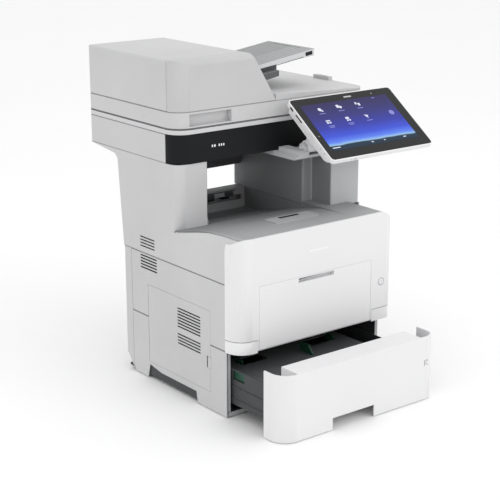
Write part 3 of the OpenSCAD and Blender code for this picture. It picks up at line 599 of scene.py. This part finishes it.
# paper tray window mark on the drawer, runners, green levers
DR = "drawer"
prism("drawer_green_lever", [(-252, 77.6), (-218, 77.6), (-218, 92), (-226, 94), (-246, 93), (-252, 86)], -222.6, -220.0, "green", DR, "YZ", 0.5)
prism("tray_green_lever", [(-238, 88.3), (-200, 88.3), (-200, 104), (-206, 107), (-226, 105), (-238, 92)], -50.0, -46.6, "green", "lift_plate", "YZ", 0.6)
bm = bmesh.new()
for i in range(9):
    x = -200 + i * 31
    if x < 70:
        bm_prism(bm, rrect(x, x + 1.4, -314, -240, 0.5, 1), 87.9, 88.5)
make("plate_ribs", bm, "plate", "lift_plate")
for nm, x0, x1 in [("frame_strip_left", -236.3, -230.8), ("frame_strip_right", 134.1, 140.9)]:
    rbox(nm, x0, x1, -216.35, -215.8, 12, 129.5, "tray", MF, 0.2)
rbox("base_lip", -236.0, 140.6, -216.35, -215.8, 1.8, 10.6, "tray", MF, 0.2)

# dark box with slanted dark blades behind the louvres: painted shade inside the vents
def louvre(name, y0, y1, z0, n, pitch, x, sgn, body=MF):
    bm = bmesh.new()
    bm_box(bm, min(x + sgn * 3.2, x + sgn * 5.0), max(x + sgn * 3.2, x + sgn * 5.0), y0 - 4, y1 + 4, z0 - 4, z0 + n * pitch + 1)
    for i in range(n):
        z = z0 + i * pitch
        d = [(x + sgn * 0.2, z + 3.0), (x + sgn * 0.2, z + 4.0), (x + sgn * 3.3, z + 6.6), (x + sgn * 3.3, z + 5.6)]
        lo = [bm.verts.new((a, y0 - 2, b)) for a, b in d]
        hi = [bm.verts.new((a, y1 + 2, b)) for a, b in d]
        bm.faces.new(lo)
        bm.faces.new(hi[::-1])
        for j in range(4):
            bm.faces.new([lo[j], hi[j], hi[(j + 1) % 4], lo[(j + 1) % 4]])
    return make(name, bm, "dark", body)


XI = -237.5
louvre("vent_shade_upper", 15.2, 65.8, 273.6, 4, 6.2, XI, 1)
louvre("vent_shade_middle", 9.2, 66.5, 229.2, 5, 6.2, XI, 1)
louvre("vent_shade_door_a", -134, -58.5, 138.6, 7, 6.2, XI, 1, "left_access_door")
louvre("vent_shade_door_b", -134, -58.5, 104.4, 4, 6.2, XI, 1, "left_access_door")
louvre("vent_shade_right", -40, 40, 215, 8, 6.2, 142.5, -1)

# output tray: stopper slot, side recess, exit flaps, bead
# Thin dark sheets in the stopper slot and at its end recess: painted shade in the slot and the recess.
rbox("stopper_slot_shade", -76.0, -28.0, -170.5, -161.8, 351.2, 351.75, "dark", "output_stopper", 0.1)
rbox("stopper_end_recess", 1.7, 8.0, -196, -160, 350.2, 350.75, "cavity_shade", MF, 0.1)
for i, x in enumerate((-150, -112, -58, -10)):
    prism("exit_flap_%d" % i, [(93.2, 331), (94.9, 331), (94.9, 341), (92.4, 341), (91.2, 337)], x, x + 20, "mid", MF, "YZ", 0.3)
bm = bmesh.new()
bm_prism(bm, rrect(-140, 18, 341.6, 343.2, 0.6, 1), 94.2, 95.1, "XZ")
make("exit_bead", bm, "mid", MF)

# ribs on the feeder's input tray; the dark sheets beside it are painted shade in a pocket, a groove and a slot
TS = math.atan2(638.5 - 609.8, 198.0)
TRAY = Matrix.Translation(P(-58, 0, 609.8)) @ Matrix.Rotation(-TS, 4, "Y")
bm = bmesh.new()
for i in range(12):
    y = -5 + i * 12.2
    bm_prism(bm, rrect(62, 196, y, y + 1.6, 0.7, 2), -0.05, 0.7)
make("tray_ribs", bm, "mid2", "adf_input_tray", TRAY)
bm = bmesh.new()
bm_prism(bm, rrect(191, 195, 20, 110, 1.2, 3), 0.0, 0.9)
make("tray_stop_bead", bm, "mid2", "adf_input_tray", TRAY)
# Thin dark sheets: painted shade in the tray's end pocket, its side groove and the lid's tab slot.
rbox("tray_end_pocket", 176, 194, -11.25, -10.9, -10.5, -3.0, "dark", "adf_input_tray", 0.1, TRAY)
rbox("tray_side_groove", 66, 170, -11.2, -10.9, -11.4, -10.2, "mid", "adf_input_tray", 0.1, TRAY)
rbox("lid_tab_slot", 231.0, 233.0, 54, 78, 564.6, 565.1, "mid", "document_feeder", 0.1)

# inner works: parts on the board, motor, power supply, plates
bm = bmesh.new()
for (y, z, w, h, t) in [(-135, 220, 26, 26, 3), (-90, 226, 34, 34, 4), (-40, 224, 20, 14, 2.6), (-10, 232, 30, 22, 3), (36, 228, 18, 30, 5), (60, 190, 16, 16, 9), (-130, 178, 8, 20, 8),
                        (-118, 240, 12, 8, 3), (70, 240, 10, 10, 4), (10, 256, 24, 8, 3), (-70, 152, 40, 8, 6), (-10, 152, 30, 8, 6), (40, 152, 26, 8, 6)]:
    bm_box(bm, -228.3, -228.3 + t, y, y + w, z, z + h)
bevel_all(bm, 0.5, 1)
make("board_parts", bm, "dark", MF)
bm = bmesh.new()
for y, z, r, t in [(-100, 275, 5, 12), (-84, 275, 5, 12), (-66, 275, 4, 9), (74, 216, 5, 12), (74, 204, 4, 9)]:
    bm_prism(bm, disc(y, z, r, 20), -228.3, -228.3 + t, "YZ")
bevel_all(bm, 0.6, 2, 0.9)
make("board_capacitors", bm, "steel", MF)
bm = bmesh.new()
for k in range(5):
    bm_prism(bm, disc(0, 240, 28.9, 40), 77 + k * 5, 78.6 + k * 5, "YZ")
make("motor_rings", bm, "steel", MF)
screws("motor_screws", [(-29, 211), (29, 211), (-29, 269), (29, 269)], "YZ", 78.0, 79.6, MF, 2.6)
screws("supply_screws", [(-132, 194), (-48, 194), (-132, 139), (-48, 139)], "YZ", 135.0, 136.0, MF, 2.2)
screws("rear_screws", [(-228, 60), (-228, 250), (133, 60), (133, 250), (-50, 255)], "XZ", 125.0, 125.9, MF, 3.2)
screws("inlet_screws", [(83.2, 165), (120.8, 165)], "XZ", 126.0, 126.8, MF, 1.9)
rbox("scan_lamp", -204.4, -199, -6, 194, 508.0, 511.4, "sheet", "scanner_carriage", 0.5)
rbox("scan_lamp_b", -186, -181, -6, 194, 508.0, 511.4, "sheet", "scanner_carriage", 0.5)

# ------------------------------------------------------------------ floor and light
fm, nt, bs = new_mat("floor")
tc = add(nt, "ShaderNodeTexCoord")
nz = add(nt, "ShaderNodeTexNoise", Scale=1.5, Detail=2.0)
nt.links.new(tc.outputs["Object"], nz.inputs["Vector"])
rp = add(nt, "ShaderNodeValToRGB")
rp.color_ramp.elements[0].color = (0.95, 0.95, 0.95, 1)
rp.color_ramp.elements[1].color = (0.97, 0.97, 0.97, 1)
nt.links.new(nz.outputs["Fac"], rp.inputs["Fac"])
nt.links.new(rp.outputs["Color"], bs.inputs["Base Color"])
bs.inputs["Roughness"].default_value = 0.6
bs.inputs["Specular IOR Level"].default_value = 0.2
me = bpy.data.meshes.new("floor")
s = 9.0
me.from_pydata([(-s, -s, 0), (s, -s, 0), (s, s, 0), (-s, s, 0)], [], [(0, 1, 2, 3)])
floor = bpy.data.objects.new("floor", me)
scene.collection.objects.link(floor)
floor.data.materials.append(fm)

world = bpy.data.worlds.new("world")
scene.world = world
world.use_nodes = True
world.node_tree.nodes["Background"].inputs["Color"].default_value = (1, 1, 1, 1)
world.node_tree.nodes["Background"].inputs["Strength"].default_value = 0.98


def area(name, loc, target, size, power, color=(1, 1, 1)):
    ld = bpy.data.lights.new(name, "AREA")
    ld.shape = "RECTANGLE"
    ld.size, ld.size_y = size
    ld.energy = power
    ld.color = color
    o = bpy.data.objects.new(name, ld)
    scene.collection.objects.link(o)
    o.location = loc
    o.rotation_euler = (Vector(target) - Vector(loc)).to_track_quat("-Z", "Y").to_euler()
    return o


area("key", (0.9, -2.6, 2.2), (0, 0, 0.3), (2.2, 1.6), 14)
area("top", (0.0, 0.0, 3.0), (0, 0, 0), (3.0, 3.0), 7)
area("left", (-2.8, -0.6, 1.5), (0, 0, 0.3), (1.6, 1.6), 3)
